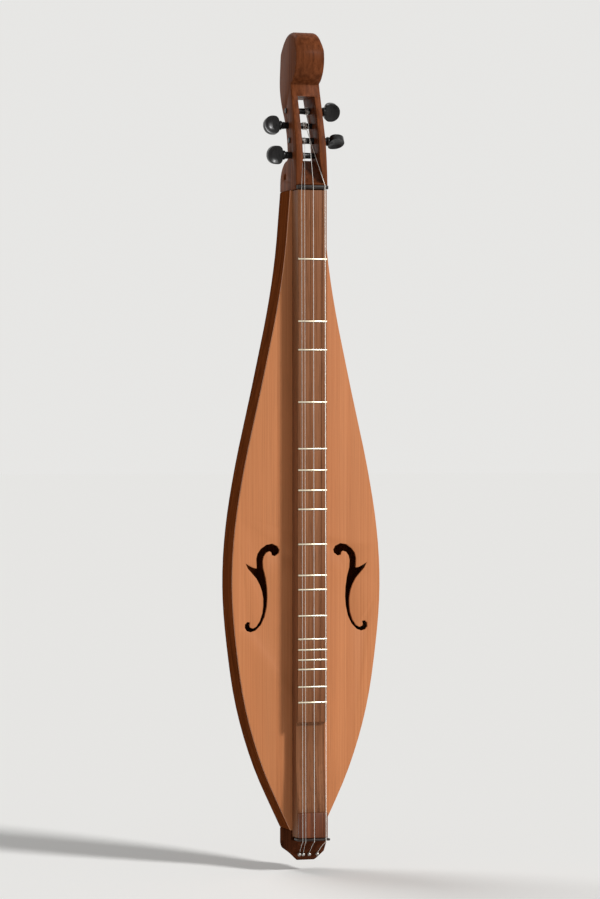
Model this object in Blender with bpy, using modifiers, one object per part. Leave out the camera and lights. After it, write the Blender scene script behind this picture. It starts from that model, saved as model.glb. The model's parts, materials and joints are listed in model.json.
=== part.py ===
"""Mountain dulcimer, modelled as its separate wooden, metal and ebony pieces.

The instrument stands upright with its scroll up and its fretboard facing -Y.
Shapes are written in two handy measures: depth, the distance behind the face of
the fretboard, and height, the distance above the nut. place() turns them into
world Y and Z, whose origin is the throat under the scroll, where it hangs.
"""
import math

import bmesh
import bpy
from mathutils import Matrix, Vector

# Clearances
GAP = 0.0003
HOLE_CLEARANCE = 0.0003
CUT_BEYOND = 0.0200

# Strings and frets
SCALE_LENGTH = 0.7112
FRET_SEMITONES = (2, 4, 5, 7, 9, 10, 11, 12, 14, 16, 17, 19, 21, 22, 23, 24, 26, 28)
FRET_CROWN_WIDTH = 0.0022
FRET_CROWN_HEIGHT = 0.0009
FRET_TANG_WIDTH = 0.0007
FRET_TANG_DEPTH = 0.0020
STRING_PLACES = {"melody_1": -0.0136, "melody_2": -0.0101, "middle": 0.0, "bass": 0.0136}
STRING_RADII = {"melody_1": 0.0002, "melody_2": 0.0002, "middle": 0.00025, "bass": 0.00035}

# Sound box
HEAD_HALF_WIDTH = 0.0185
TAIL_HALF_WIDTH = 0.0186
BOUT_HALF_WIDTH = 0.0865
BODY_DEPTH = 0.0400
PLATE_THICKNESS = 0.0030
SIDE_THICKNESS = 0.0023
LINING_WIDTH = 0.0050
LINING_HEIGHT = 0.0080
BRACE_WIDTH = 0.0080
BRACE_HEIGHT = 0.0090
HEAD_BLOCK_LENGTH = 0.0450
TAIL_BLOCK_TENON = 0.0300
OUTLINE_STEPS = 44

# Fretboard and what stands on it
FRETBOARD_HEIGHT = 0.0215
FRETBOARD_HALF_WIDTH = 0.0168
CHANNEL_HALF_WIDTH = 0.0085
CHANNEL_DEPTH = 0.0085
HOLLOW_LENGTH = 0.1005
HOLLOW_DEPTH = 0.0070
BRIDGE_BLOCK_LENGTH = 0.0283
STRING_COMPENSATION = 0.0096
TAIL_OVERHANG = 0.0068
BRIDGE_BLOCK_PROUD = 0.0040
BRIDGE_SEAT_DEPTH = 0.0020
NUT_HALF_WIDTH = 0.0180
NUT_THICKNESS = 0.0045
NUT_PROUD = 0.0025
NUT_SEAT_DEPTH = 0.0036
SADDLE_HALF_WIDTH = 0.0187
SADDLE_THICKNESS = 0.0025
SADDLE_PROUD = 0.0065

# Pegbox and scroll
SCROLL_RADIUS = 0.0300
SCROLL_RISE = 0.0330
SCROLL_SET_BACK = 0.0245
SCROLL_HALF_WIDTH = 0.0160
SLOT_HALF_WIDTH = 0.0100
SLOT_MOUTH_HALF_WIDTH = 0.0138
SLOT_ABOVE_PEGS = 0.0149
CHIN_WALL = 0.0095
SLOT_FLOOR = 0.0340
SLOT_RAMP_START = 0.0075
SLOT_RAMP_FRONT = 0.0060
SLOT_RAMP_BACK = 0.0300
EYE_RADIUS = 0.0046
EYE_DEPTH = 0.0030
HANG_DEPTH = 0.0470

# Pegs
PEG_FIRST_HEIGHT = 0.0390
PEG_SPACING = 0.0172
PEG_FIRST_DEPTH = 0.0210
PEG_LEAN = 0.0070
PEG_THICK_RADIUS = 0.0037
PEG_THIN_RADIUS = 0.0030
PEG_TIP_REACH = 0.0012
COLLAR_RADIUS = 0.0050
COLLAR_LENGTH = 0.0035
COLLAR_STAND_OFF = 0.0060
THUMB_HALF_LENGTH = 0.0095
THUMB_HALF_HEIGHT = 0.0103
THUMB_RIM_THICKNESS = 0.0036
THUMB_MIDDLE_THICKNESS = 0.0024
WINDING_TURNS = 4
WINDING_POINTS = 24
WINDING_GAP = 0.0006

# Tail
TAIL_LENGTH = 0.0340
TAIL_FRONT_DEPTH = 0.0040
TAIL_SLANT = 0.0200
TAIL_CORNER_HEIGHT = 0.0115
TAIL_CORNER_WIDTH = 0.0088
PIN_RADIUS = 0.0008
PIN_HEAD_RADIUS = 0.0018
PIN_PLACES = (-0.0105, -0.0060, 0.0010, 0.0105)
PIN_DROP = 0.0265
PIN_PROUD = 0.0040

# Places that follow from the sizes above
TOP_DEPTH = FRETBOARD_HEIGHT
BACK_DEPTH = TOP_DEPTH + BODY_DEPTH
BRIDGE_BLOCK_END = SCALE_LENGTH + STRING_COMPENSATION
BRIDGE_BLOCK_START = BRIDGE_BLOCK_END - BRIDGE_BLOCK_LENGTH
HOLLOW_START = BRIDGE_BLOCK_START - HOLLOW_LENGTH
BODY_LENGTH = BRIDGE_BLOCK_END - TAIL_OVERHANG
SLOT_TOP = PEG_FIRST_HEIGHT + 3 * PEG_SPACING + SLOT_ABOVE_PEGS
CHIN_HEIGHT = SLOT_TOP + CHIN_WALL
SCROLL_CENTRE_HEIGHT = CHIN_HEIGHT + SCROLL_RISE
SCROLL_CENTRE_DEPTH = BACK_DEPTH - SCROLL_SET_BACK
HANG_HEIGHT = CHIN_HEIGHT

# Pegs from the lowest to the highest: the side that the thumb piece is on
PEG_SIDES = {"lower_left": -1, "lower_right": 1, "upper_left": -1, "top_right": 1}
PEG_TURNS_AT_REST = {"lower_left": -6.0, "lower_right": 62.0, "upper_left": 8.0, "top_right": 20.0}
STRING_PEGS = {"melody_1": "lower_left", "melody_2": "lower_right", "bass": "upper_left",
               "middle": "top_right"}
WINDING_PLACES = {"melody_1": -0.0060, "melody_2": -0.0015, "bass": 0.0015, "middle": 0.0060}

COLOURS = {
    "top_wood": ((0.56, 0.24, 0.10), 0.45, 0.0),
    "walnut": ((0.13, 0.055, 0.03), 0.45, 0.0),
    "board_wood": ((0.26, 0.14, 0.09), 0.5, 0.0),
    "inner_wood": ((0.55, 0.38, 0.22), 0.7, 0.0),
    "dark_wood": ((0.03, 0.02, 0.015), 0.4, 0.0),
    "ebony": ((0.012, 0.011, 0.011), 0.25, 0.0),
    "fret_metal": ((0.80, 0.74, 0.58), 0.3, 1.0),
    "steel": ((0.72, 0.72, 0.72), 0.3, 1.0),
}


def place(across, depth, height):
    """World point of a place on the instrument."""
    return Vector((across, depth - HANG_DEPTH, height - HANG_HEIGHT))


def clear_scene():
    for old in list(bpy.data.objects):
        bpy.data.objects.remove(old, do_unlink=True)


def collection(name):
    made = bpy.data.collections.new(name)
    bpy.context.scene.collection.children.link(made)
    return made


def material(name):
    if name in bpy.data.materials:
        return bpy.data.materials[name]
    colour, roughness, metallic = COLOURS[name]
    made = bpy.data.materials.new(name)
    made.use_nodes = True
    shader = made.node_tree.nodes["Principled BSDF"]
    shader.inputs["Base Color"].default_value = (*colour, 1.0)
    shader.inputs["Roughness"].default_value = roughness
    shader.inputs["Metallic"].default_value = metallic
    return made


def add_mesh(name, mesh_bm, finish, group, location=(0.0, 0.0, 0.0), smooth=True):
    """Turn a bmesh into a named object of a collection."""
    bmesh.ops.recalc_face_normals(mesh_bm, faces=mesh_bm.faces)
    mesh = bpy.data.meshes.new(name)
    mesh_bm.to_mesh(mesh)
    mesh_bm.free()
    if smooth:
        mesh.shade_smooth()
        mesh.set_sharp_from_angle(angle=math.radians(35))
    made = bpy.data.objects.new(name, mesh)
    made.location = location
    group.objects.link(made)
    if finish:
        mesh.materials.append(material(finish))
    return made


def smooth_curve(points, steps):
    """Points of a smooth curve through the given ones, open at its ends."""
    knots = [Vector(p) for p in points]
    knots = [2 * knots[0] - knots[1], *knots, 2 * knots[-1] - knots[-2]]
    found = []
    for a, b, c, d in zip(knots, knots[1:], knots[2:], knots[3:]):
        for step in range(steps):
            t = step / steps
            found.append(0.5 * (2 * b + (c - a) * t + (2 * a - 5 * b + 4 * c - d) * t ** 2
                                + (3 * b - a - 3 * c + d) * t ** 3))
    found.append(knots[-2])
    return found


def arc(centre, radii, start, end, steps):
    """Points along an ellipse's arc, in depth and height."""
    found = []
    for step in range(steps + 1):
        angle = math.radians(start + (end - start) * step / steps)
        found.append(Vector((centre[0] + radii[0] * math.cos(angle),
                             centre[1] + radii[1] * math.sin(angle))))
    return found


def extruded_profile(profile, half_width_at):
    """A closed bmesh: a side profile, in depth and height, drawn out across X."""
    mesh_bm = bmesh.new()
    corners = [mesh_bm.verts.new(place(-half_width_at(p[1]), p[0], p[1])) for p in profile]
    first = mesh_bm.faces.new(corners)
    moved = bmesh.ops.extrude_face_region(mesh_bm, geom=[first])["geom"]
    for vert in (v for v in moved if isinstance(v, bmesh.types.BMVert)):
        vert.co.x = -vert.co.x
    return mesh_bm


def boxed(low, high):
    """A closed bmesh box between two corners given as across, depth and height."""
    mesh_bm = bmesh.new()
    bmesh.ops.create_cube(mesh_bm, size=1.0)
    a, b = place(*low), place(*high)
    bmesh.ops.scale(mesh_bm, vec=b - a, verts=mesh_bm.verts)
    bmesh.ops.translate(mesh_bm, vec=(a + b) / 2, verts=mesh_bm.verts)
    return mesh_bm


def cut(target, tool):
    """Take the tool's shape out of the target."""
    tool.hide_render = True
    tool.display_type = "WIRE"
    modifier = target.modifiers.new("Cut " + tool.name, "BOOLEAN")
    modifier.operation = "DIFFERENCE"
    modifier.solver = "EXACT"
    modifier.object = tool


def bevel(target, width, segments=2):
    modifier = target.modifiers.new("Bevel", "BEVEL")
    modifier.width = width
    modifier.segments = segments
    modifier.limit_method = "ANGLE"
    modifier.angle_limit = math.radians(40)


def wire(name, points, radius, finish, group):
    """A round wire through points, as one closed tube."""
    curve = bpy.data.curves.new(name, "CURVE")
    curve.dimensions = "3D"
    curve.bevel_depth = radius
    curve.bevel_resolution = 1
    curve.use_fill_caps = True
    spline = curve.splines.new("POLY")
    spline.points.add(len(points) - 1)
    for spot, point in zip(spline.points, points):
        spot.co = (*point, 1.0)
    made = bpy.data.objects.new(name, curve)
    curve.materials.append(material(finish))
    group.objects.link(made)
    return made


def outline_knots():
    """Places below the nut and half widths that the body's outline runs through."""
    spread = BOUT_HALF_WIDTH - HEAD_HALF_WIDTH
    shares = ((0.0, 0.0), (0.10, 0.09), (0.19, 0.235), (0.31, 0.50), (0.43, 0.78), (0.53, 0.95),
              (0.62, 1.0), (0.71, 0.93), (0.81, 0.765), (0.905, 0.46))
    knots = [(share * BODY_LENGTH, HEAD_HALF_WIDTH + swell * spread) for share, swell in shares]
    return knots + [(BODY_LENGTH, TAIL_HALF_WIDTH)]


def outline_points():
    return smooth_curve(outline_knots(), OUTLINE_STEPS // 11)


def half_width_below(drop):
    """Half width of the body at a distance below the nut."""
    points = outline_points()
    for a, b in zip(points, points[1:]):
        if a[0] <= drop <= b[0]:
            return a[1] + (b[1] - a[1]) * (drop - a[0]) / (b[0] - a[0])
    return points[-1][1]


def inset_line(inset, start, end):
    """The outline moved inwards, between two distances below the nut."""
    points = outline_points()
    found = []
    for index, point in enumerate(points):
        ahead = points[min(index + 1, len(points) - 1)]
        behind = points[max(index - 1, 0)]
        along = (ahead - behind).normalized()
        moved = Vector((point[0] + along[1] * inset, point[1] - along[0] * inset))
        if start <= moved[0] <= end:
            found.append(moved)
    return found


# Half outline of a sound hole: across from its middle line and height from its middle.
SOUND_HOLE_MIDDLE = (0.0520, 0.4430)
SOUND_HOLE_OUTLINE = (
    (-0.0150, 0.0350), (-0.0196, 0.0384), (-0.0205, 0.0420), (-0.0180, 0.0462), (-0.0120, 0.0490),
    (-0.0050, 0.0478), (0.0015, 0.0432), (0.0052, 0.0380), (0.0066, 0.0325), (0.0062, 0.0215),
    (0.0100, 0.0222), (0.0145, 0.0245), (0.0190, 0.0270), (0.0165, 0.0215), (0.0120, 0.0165),
    (0.0065, 0.0103), (0.0025, 0.0030), (0.0000, -0.0040), (-0.0014, -0.0120), (-0.0014, -0.0200),
    (-0.0004, -0.0285), (0.0025, -0.0370), (0.0065, -0.0430), (0.0105, -0.0452), (0.0138, -0.0440),
    (0.0146, -0.0415), (0.0137, -0.0385), (0.0170, -0.0378), (0.0198, -0.0405), (0.0200, -0.0445),
    (0.0175, -0.0480), (0.0130, -0.0494), (0.0075, -0.0475), (0.0015, -0.0415), (-0.0030, -0.0325),
    (-0.0056, -0.0215), (-0.0064, -0.0110), (-0.0060, 0.0000), (-0.0044, 0.0110), (-0.0015, 0.0220),
    (-0.0010, 0.0300), (-0.0022, 0.0350), (-0.0050, 0.0390), (-0.0088, 0.0405), (-0.0110, 0.0390),
    (-0.0114, 0.0362),
)


def flat_piece(name, loops, near_depth, thickness, finish, group):
    """A plate cut to flat loops of across and height, with inner loops as holes."""
    curve = bpy.data.curves.new(name, "CURVE")
    curve.dimensions = "2D"
    curve.fill_mode = "BOTH"
    curve.extrude = thickness / 2
    for loop in loops:
        spline = curve.splines.new("POLY")
        spline.points.add(len(loop) - 1)
        for spot, (across, height) in zip(spline.points, loop):
            spot.co = (across, height, 0.0, 1.0)
        spline.use_cyclic_u = True
    flat = bpy.data.objects.new(name + "_outline", curve)
    group.objects.link(flat)
    shaped = bpy.data.meshes.new_from_object(flat.evaluated_get(bpy.context.evaluated_depsgraph_get()))
    bpy.data.objects.remove(flat, do_unlink=True)
    mesh_bm = bmesh.new()
    mesh_bm.from_mesh(shaped)
    bmesh.ops.remove_doubles(mesh_bm, verts=mesh_bm.verts, dist=0.00001)
    upright = Matrix.Rotation(math.radians(90), 4, "X")
    bmesh.ops.transform(mesh_bm, matrix=upright, verts=mesh_bm.verts)
    bmesh.ops.translate(mesh_bm, vec=place(0.0, near_depth + thickness / 2, 0.0), verts=mesh_bm.verts)
    return add_mesh(name, mesh_bm, finish, group, smooth=False)


def plate_loop():
    """The body's whole outline as a closed loop."""
    right = [(p[1], -p[0]) for p in outline_points()]
    left = [(-across, height) for across, height in reversed(right)]
    return right + left


def sound_hole_loop(side):
    middle, drop = SOUND_HOLE_MIDDLE
    return [(side * (middle + across), height - drop) for across, height in SOUND_HOLE_OUTLINE]


def bent_strip(name, side, inset, start, end, near, far, thickness, finish, group):
    """A strip bent along the outline, standing between two depths."""
    mesh_bm = bmesh.new()
    rows = []
    for drop, across in inset_line(inset, start, end):
        rows.append([mesh_bm.verts.new(place(side * across, depth, -drop)) for depth in (near, far)])
    for a, b in zip(rows, rows[1:]):
        corners = (a[0], b[0], b[1], a[1])
        mesh_bm.faces.new(corners if side > 0 else corners[::-1])
    mesh = bpy.data.meshes.new(name)
    mesh_bm.to_mesh(mesh)
    mesh_bm.free()
    mesh.shade_smooth()
    mesh.set_sharp_from_angle(angle=math.radians(35))
    mesh.materials.append(material(finish))
    made = bpy.data.objects.new(name, mesh)
    group.objects.link(made)
    wall = made.modifiers.new("Wall", "SOLIDIFY")
    wall.thickness = thickness
    wall.offset = -1.0
    return made


def build_sound_box(group):
    plate = plate_loop()
    holes = [sound_hole_loop(1), sound_hole_loop(-1)]
    flat_piece("soundboard", [plate, *holes], TOP_DEPTH, PLATE_THICKNESS, "top_wood", group)
    flat_piece("back_plate", [plate], BACK_DEPTH - PLATE_THICKNESS, PLATE_THICKNESS, "walnut", group)
    near = TOP_DEPTH + PLATE_THICKNESS + GAP
    far = BACK_DEPTH - PLATE_THICKNESS - GAP
    lining_inset = SIDE_THICKNESS + GAP
    lining_start = HEAD_BLOCK_LENGTH + 0.010
    lining_end = BODY_LENGTH - TAIL_BLOCK_TENON - 0.010
    for side, word in ((-1, "left"), (1, "right")):
        bent_strip("side_" + word, side, 0.0, 0.0, BODY_LENGTH, near, far, SIDE_THICKNESS,
                   "walnut", group)
        bent_strip("top_lining_" + word, side, lining_inset, lining_start, lining_end,
                   near, near + LINING_HEIGHT, LINING_WIDTH, "inner_wood", group)
        bent_strip("back_lining_" + word, side, lining_inset, lining_start, lining_end,
                   far - LINING_HEIGHT, far, LINING_WIDTH, "inner_wood", group)


def brace(name, drop, near, far, group):
    """A straight brace across the body, cut to reach from lining to lining."""
    inner = SIDE_THICKNESS + LINING_WIDTH + 3 * GAP
    narrowest = min(half_width_below(drop - BRACE_WIDTH / 2), half_width_below(drop + BRACE_WIDTH / 2))
    slope = abs(half_width_below(drop + 0.01) - half_width_below(drop - 0.01)) / 0.02
    reach = narrowest - inner * math.hypot(1.0, slope)
    mesh_bm = boxed((-reach, near, -drop - BRACE_WIDTH / 2), (reach, far, -drop + BRACE_WIDTH / 2))
    return add_mesh(name, mesh_bm, "inner_wood", group)


def build_braces(group):
    inside_top = TOP_DEPTH + PLATE_THICKNESS + GAP
    inside_back = BACK_DEPTH - PLATE_THICKNESS - GAP
    for index, share in enumerate((0.28, 0.50, 0.80), start=1):
        brace(f"back_brace_{index}", share * BODY_LENGTH, inside_back - BRACE_HEIGHT, inside_back, group)
    for index, share in enumerate((0.42, 0.76), start=1):
        brace(f"top_brace_{index}", share * BODY_LENGTH, inside_top, inside_top + BRACE_HEIGHT, group)


def tail_face_depth(height):
    """Depth of the tail's slanting end face at a height."""
    front_top = BRIDGE_BLOCK_END + SADDLE_THICKNESS + 2 * GAP
    return TAIL_FRONT_DEPTH + TAIL_SLANT * (-height - front_top) / (BODY_LENGTH + TAIL_LENGTH - front_top)


def tail_corner_tool(side):
    """A three-sided cutter that slants one lower corner of the tail."""
    bottom = BODY_LENGTH + TAIL_LENGTH
    outline = ((TAIL_HALF_WIDTH, -(bottom - TAIL_CORNER_HEIGHT)),
               (TAIL_HALF_WIDTH - TAIL_CORNER_WIDTH * 1.1, -(bottom + TAIL_CORNER_HEIGHT * 0.1)),
               (TAIL_HALF_WIDTH + TAIL_CORNER_WIDTH, -(bottom + TAIL_CORNER_HEIGHT * 0.1)),
               (TAIL_HALF_WIDTH + TAIL_CORNER_WIDTH, -(bottom - TAIL_CORNER_HEIGHT)))
    mesh_bm = bmesh.new()
    rings = [[mesh_bm.verts.new(place(side * across, depth, height)) for across, height in outline]
             for depth in (-BACK_DEPTH, 2 * BACK_DEPTH)]
    for near, far in zip(range(4), (1, 2, 3, 0)):
        mesh_bm.faces.new((rings[0][near], rings[0][far], rings[1][far], rings[1][near]))
    for ring in rings:
        mesh_bm.faces.new(ring)
    bmesh.ops.recalc_face_normals(mesh_bm, faces=mesh_bm.faces)
    return add_mesh(f"tail_corner_{side}", mesh_bm, None, CUTTERS)


def build_blocks(group):
    near = TOP_DEPTH + PLATE_THICKNESS + GAP
    far = BACK_DEPTH - PLATE_THICKNESS - GAP
    inner = SIDE_THICKNESS + 2 * GAP
    reach = HEAD_HALF_WIDTH - inner
    head = boxed((-reach, near, -HEAD_BLOCK_LENGTH), (reach, far, 0.0))
    add_mesh("head_block", head, "inner_wood", group)

    bottom = BODY_LENGTH + TAIL_LENGTH
    joint = BODY_LENGTH + GAP
    front_top = BRIDGE_BLOCK_END + SADDLE_THICKNESS + 2 * GAP
    lower_edge = smooth_curve(((BACK_DEPTH, -(bottom - 0.0165)), (BACK_DEPTH - 0.0045, -(bottom - 0.0120)),
                               (BACK_DEPTH - 0.0145, -(bottom - 0.0098)), (0.0370, -(bottom - 0.0070)),
                               (0.0300, -(bottom - 0.0020)),
                               (TAIL_FRONT_DEPTH + TAIL_SLANT + 0.002, -bottom)), 3)
    profile = [(TOP_DEPTH + GAP, -joint), (BACK_DEPTH, -joint), *[tuple(p) for p in lower_edge],
               (tail_face_depth(-(bottom - 0.002)), -(bottom - 0.002)),
               (TAIL_FRONT_DEPTH, -front_top), (TOP_DEPTH + GAP, -front_top)]
    tail = add_mesh("tail_block", extruded_profile(profile, lambda height: TAIL_HALF_WIDTH),
                    "walnut", group)
    bevel(tail, 0.0010)
    for side in (-1, 1):
        cut(tail, tail_corner_tool(side))
        spot = place(side * (TAIL_HALF_WIDTH + EYE_RADIUS - EYE_DEPTH), BACK_DEPTH - 0.0095,
                     -(bottom - 0.0165))
        cut(tail, eye_tool(f"tail_eye_{side}", spot))
    tenon_reach = TAIL_HALF_WIDTH - inner
    tenon = boxed((-tenon_reach, near, -BODY_LENGTH), (tenon_reach, far, -(BODY_LENGTH - TAIL_BLOCK_TENON)))
    add_mesh("inner_tail_block", tenon, "inner_wood", group)
    for index, across in enumerate(PIN_PLACES, start=1):
        pin_hole = bmesh.new()
        bmesh.ops.create_cone(pin_hole, cap_ends=True, segments=12, radius1=PIN_RADIUS + GAP,
                              radius2=PIN_RADIUS + GAP, depth=0.0240)
        bmesh.ops.rotate(pin_hole, matrix=Matrix.Rotation(math.radians(90), 3, "X"), verts=pin_hole.verts)
        pin_height = -(BODY_LENGTH + PIN_DROP)
        bmesh.ops.translate(pin_hole, vec=place(across, tail_face_depth(pin_height), pin_height),
                            verts=pin_hole.verts)
        cut(tail, add_mesh(f"pin_hole_{index}", pin_hole, None, CUTTERS))


def eye_tool(name, spot):
    """A round cutter for the scooped eye beside a rounded end."""
    mesh_bm = bmesh.new()
    bmesh.ops.create_uvsphere(mesh_bm, u_segments=20, v_segments=10, radius=EYE_RADIUS)
    bmesh.ops.translate(mesh_bm, vec=spot, verts=mesh_bm.verts)
    return add_mesh(name, mesh_bm, None, CUTTERS)


def fret_drops():
    return [SCALE_LENGTH * (1 - 2 ** (-step / 12)) for step in FRET_SEMITONES]


def build_fretboard(group):
    slot_half = FRET_TANG_WIDTH / 2 + GAP
    slot_depth = FRET_TANG_DEPTH + GAP
    face = [(0.0, -GAP)]
    for drop in fret_drops():
        face += [(0.0, -drop + slot_half), (slot_depth, -drop + slot_half),
                 (slot_depth, -drop - slot_half), (0.0, -drop - slot_half)]
    scoop = smooth_curve(((HOLLOW_DEPTH, -HOLLOW_START - 0.003), (HOLLOW_DEPTH, -HOLLOW_START - 0.040),
                          (0.0050, -HOLLOW_START - 0.070),
                          (BRIDGE_SEAT_DEPTH, -BRIDGE_BLOCK_START + 0.003)), 4)
    face += [(0.0, -HOLLOW_START), (HOLLOW_DEPTH - 0.002, -HOLLOW_START - 0.0006)]
    face += [tuple(p) for p in scoop]
    face += [(BRIDGE_SEAT_DEPTH, -BRIDGE_BLOCK_END)]
    under = TOP_DEPTH - GAP
    profile = [*face, (under, -BRIDGE_BLOCK_END), (under, -GAP)]
    board = add_mesh("fretboard", extruded_profile(profile, lambda height: FRETBOARD_HALF_WIDTH),
                     "board_wood", group)
    channel = boxed((-CHANNEL_HALF_WIDTH, under - CHANNEL_DEPTH, -(BRIDGE_BLOCK_START - 0.010)),
                    (CHANNEL_HALF_WIDTH, under + 0.010, -0.030))
    cut(board, add_mesh("fretboard_channel", channel, None, CUTTERS))

    crown = FRET_CROWN_WIDTH / 2
    tang = FRET_TANG_WIDTH / 2
    for index, drop in enumerate(fret_drops(), start=1):
        dome = arc((-GAP, -drop), (FRET_CROWN_HEIGHT, crown), 270, 90, 8)
        section = [tuple(p) for p in dome]
        section += [(-GAP, -drop + tang), (FRET_TANG_DEPTH, -drop + tang),
                    (FRET_TANG_DEPTH, -drop - tang), (-GAP, -drop - tang)]
        add_mesh(f"fret_{index:02d}", extruded_profile(section, lambda height: FRETBOARD_HALF_WIDTH),
                 "fret_metal", group)

    block = boxed((-FRETBOARD_HALF_WIDTH, -BRIDGE_BLOCK_PROUD, -BRIDGE_BLOCK_END),
                  (FRETBOARD_HALF_WIDTH, BRIDGE_SEAT_DEPTH - GAP, -BRIDGE_BLOCK_START))
    bevel(add_mesh("bridge_block", block, "walnut", group), 0.0008)
    saddle = boxed((-SADDLE_HALF_WIDTH, -SADDLE_PROUD, -(BRIDGE_BLOCK_END + GAP + SADDLE_THICKNESS)),
                   (SADDLE_HALF_WIDTH, TOP_DEPTH * 0.4, -(BRIDGE_BLOCK_END + GAP)))
    bevel(add_mesh("saddle", saddle, "dark_wood", group), 0.0007)
    nut = boxed((-NUT_HALF_WIDTH, -NUT_PROUD, GAP), (NUT_HALF_WIDTH, NUT_SEAT_DEPTH - GAP, NUT_THICKNESS))
    bevel(add_mesh("nut", nut, "dark_wood", group), 0.0007)


def peghead_half_width(height):
    share = max(height, 0.0) / (SCROLL_CENTRE_HEIGHT + SCROLL_RADIUS)
    return HEAD_HALF_WIDTH + (SCROLL_HALF_WIDTH - HEAD_HALF_WIDTH) * share


PEGBOX_FRONT = ((0.033, 0.183), (0.081, 0.426), (0.211, 0.670), (0.366, 0.913), (0.415, 1.0))
PEGBOX_BACK = ((1.114, 1.087), (1.073, 0.957), (0.953, 0.826), (0.764, 0.676), (0.626, 0.499),
               (0.569, 0.3165))


def peghead_profile():
    """Side view of the pegbox, the scroll and the body's rounded shoulder."""
    def spots(shares):
        """Depths given as shares of the back's depth, heights as shares of the chin's height."""
        return [(depth * BACK_DEPTH, height * CHIN_HEIGHT) for depth, height in shares]

    centre = (SCROLL_CENTRE_DEPTH, SCROLL_CENTRE_HEIGHT)
    front = smooth_curve([(0.0015, NUT_THICKNESS + GAP), *spots(PEGBOX_FRONT)], 3)
    roll = arc(centre, (SCROLL_RADIUS, SCROLL_RADIUS), 250, 0, 26)
    spine = smooth_curve([(SCROLL_CENTRE_DEPTH + SCROLL_RADIUS, SCROLL_CENTRE_HEIGHT),
                          *spots(PEGBOX_BACK)], 3)
    shoulder = arc((BACK_DEPTH - 0.0255, 0.0100), (0.0255, 0.0245), 85, 0, 8)
    profile = [Vector((NUT_SEAT_DEPTH, GAP)), Vector((NUT_SEAT_DEPTH, NUT_THICKNESS + GAP))]
    profile += front + roll + spine[1:] + shoulder + [Vector((BACK_DEPTH, GAP))]
    return [tuple(p) for p in profile]


def peg_place(peg):
    """Depth and height of a peg's axis, counted up from the lowest peg."""
    steps = list(PEG_SIDES).index(peg)
    return PEG_FIRST_DEPTH + PEG_LEAN * steps, PEG_FIRST_HEIGHT + PEG_SPACING * steps


def peg_radius(reach):
    """Radius of a peg's tapered shaft at a distance towards its thumb piece."""
    span = 2 * HEAD_HALF_WIDTH
    share = (reach + HEAD_HALF_WIDTH) / span
    return PEG_THIN_RADIUS + (PEG_THICK_RADIUS - PEG_THIN_RADIUS) * share


def build_peghead(group):
    peghead = add_mesh("peghead", extruded_profile(peghead_profile(), peghead_half_width), "walnut", group)
    bevel(peghead, 0.0012)

    mouth = SLOT_MOUTH_HALF_WIDTH
    before = -CUT_BEYOND
    behind = BACK_DEPTH + CUT_BEYOND
    floor = (SLOT_RAMP_BACK, SLOT_FLOOR)
    through = (floor, (behind, SLOT_FLOOR), (behind, SLOT_TOP), (before, SLOT_TOP), (before, SLOT_FLOOR))
    pocket = ((before, SLOT_RAMP_START), (SLOT_RAMP_FRONT, SLOT_RAMP_START), floor,
              (before, SLOT_FLOOR + GAP))

    def slot_width(height):
        share = (height - SLOT_RAMP_START) / (SLOT_FLOOR - SLOT_RAMP_START)
        return mouth + (SLOT_HALF_WIDTH - mouth) * min(share, 1.0)

    upper = extruded_profile(through, lambda height: SLOT_HALF_WIDTH)
    lower = extruded_profile(pocket, slot_width)
    cut(peghead, add_mesh("slot_upper", upper, None, CUTTERS))
    cut(peghead, add_mesh("slot_lower", lower, None, CUTTERS))
    for side in (-1, 1):
        spot = place(side * (peghead_half_width(0.0165) + EYE_RADIUS - EYE_DEPTH),
                     BACK_DEPTH - 0.0185, 0.0165)
        cut(peghead, eye_tool(f"head_eye_{side}", spot))
    for word, side in PEG_SIDES.items():
        depth, height = peg_place(word)
        end = HEAD_HALF_WIDTH + 0.004
        hole = bmesh.new()
        bmesh.ops.create_cone(hole, cap_ends=True, segments=20, depth=2 * end,
                              radius1=peg_radius(-end) + HOLE_CLEARANCE,
                              radius2=peg_radius(end) + HOLE_CLEARANCE)
        bmesh.ops.rotate(hole, matrix=Matrix.Rotation(math.radians(90 * side), 3, "Y"), verts=hole.verts)
        bmesh.ops.translate(hole, vec=place(0.0, depth, height), verts=hole.verts)
        cut(peghead, add_mesh(f"peg_hole_{word}", hole, None, CUTTERS))


def turned(rings, sides):
    """A closed bmesh turned about X through rings of reach and radius."""
    mesh_bm = bmesh.new()
    loops = []
    for reach, radius in rings:
        loops.append([mesh_bm.verts.new((reach, radius * math.cos(math.tau * k / sides),
                                         radius * math.sin(math.tau * k / sides))) for k in range(sides)])
    for a, b in zip(loops, loops[1:]):
        for k in range(sides):
            mesh_bm.faces.new((a[k], a[(k + 1) % sides], b[(k + 1) % sides], b[k]))
    mesh_bm.faces.new(loops[0][::-1])
    mesh_bm.faces.new(loops[-1])
    return mesh_bm


def turned_peg(name, group, cheek):
    """A peg's tapered shaft and collar, with its head end at +X."""
    tip = -(cheek + PEG_TIP_REACH)
    neck = cheek + COLLAR_STAND_OFF
    rings = [(tip, peg_radius(tip)), (cheek + 0.001, peg_radius(cheek)), (neck - 0.0005, 0.0041),
             (neck, COLLAR_RADIUS), (neck + COLLAR_LENGTH * 0.5, COLLAR_RADIUS * 1.06),
             (neck + COLLAR_LENGTH, COLLAR_RADIUS * 0.85), (neck + COLLAR_LENGTH + 0.004, 0.0030)]
    return add_mesh(name, turned(rings, 20), "ebony", group)


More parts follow.
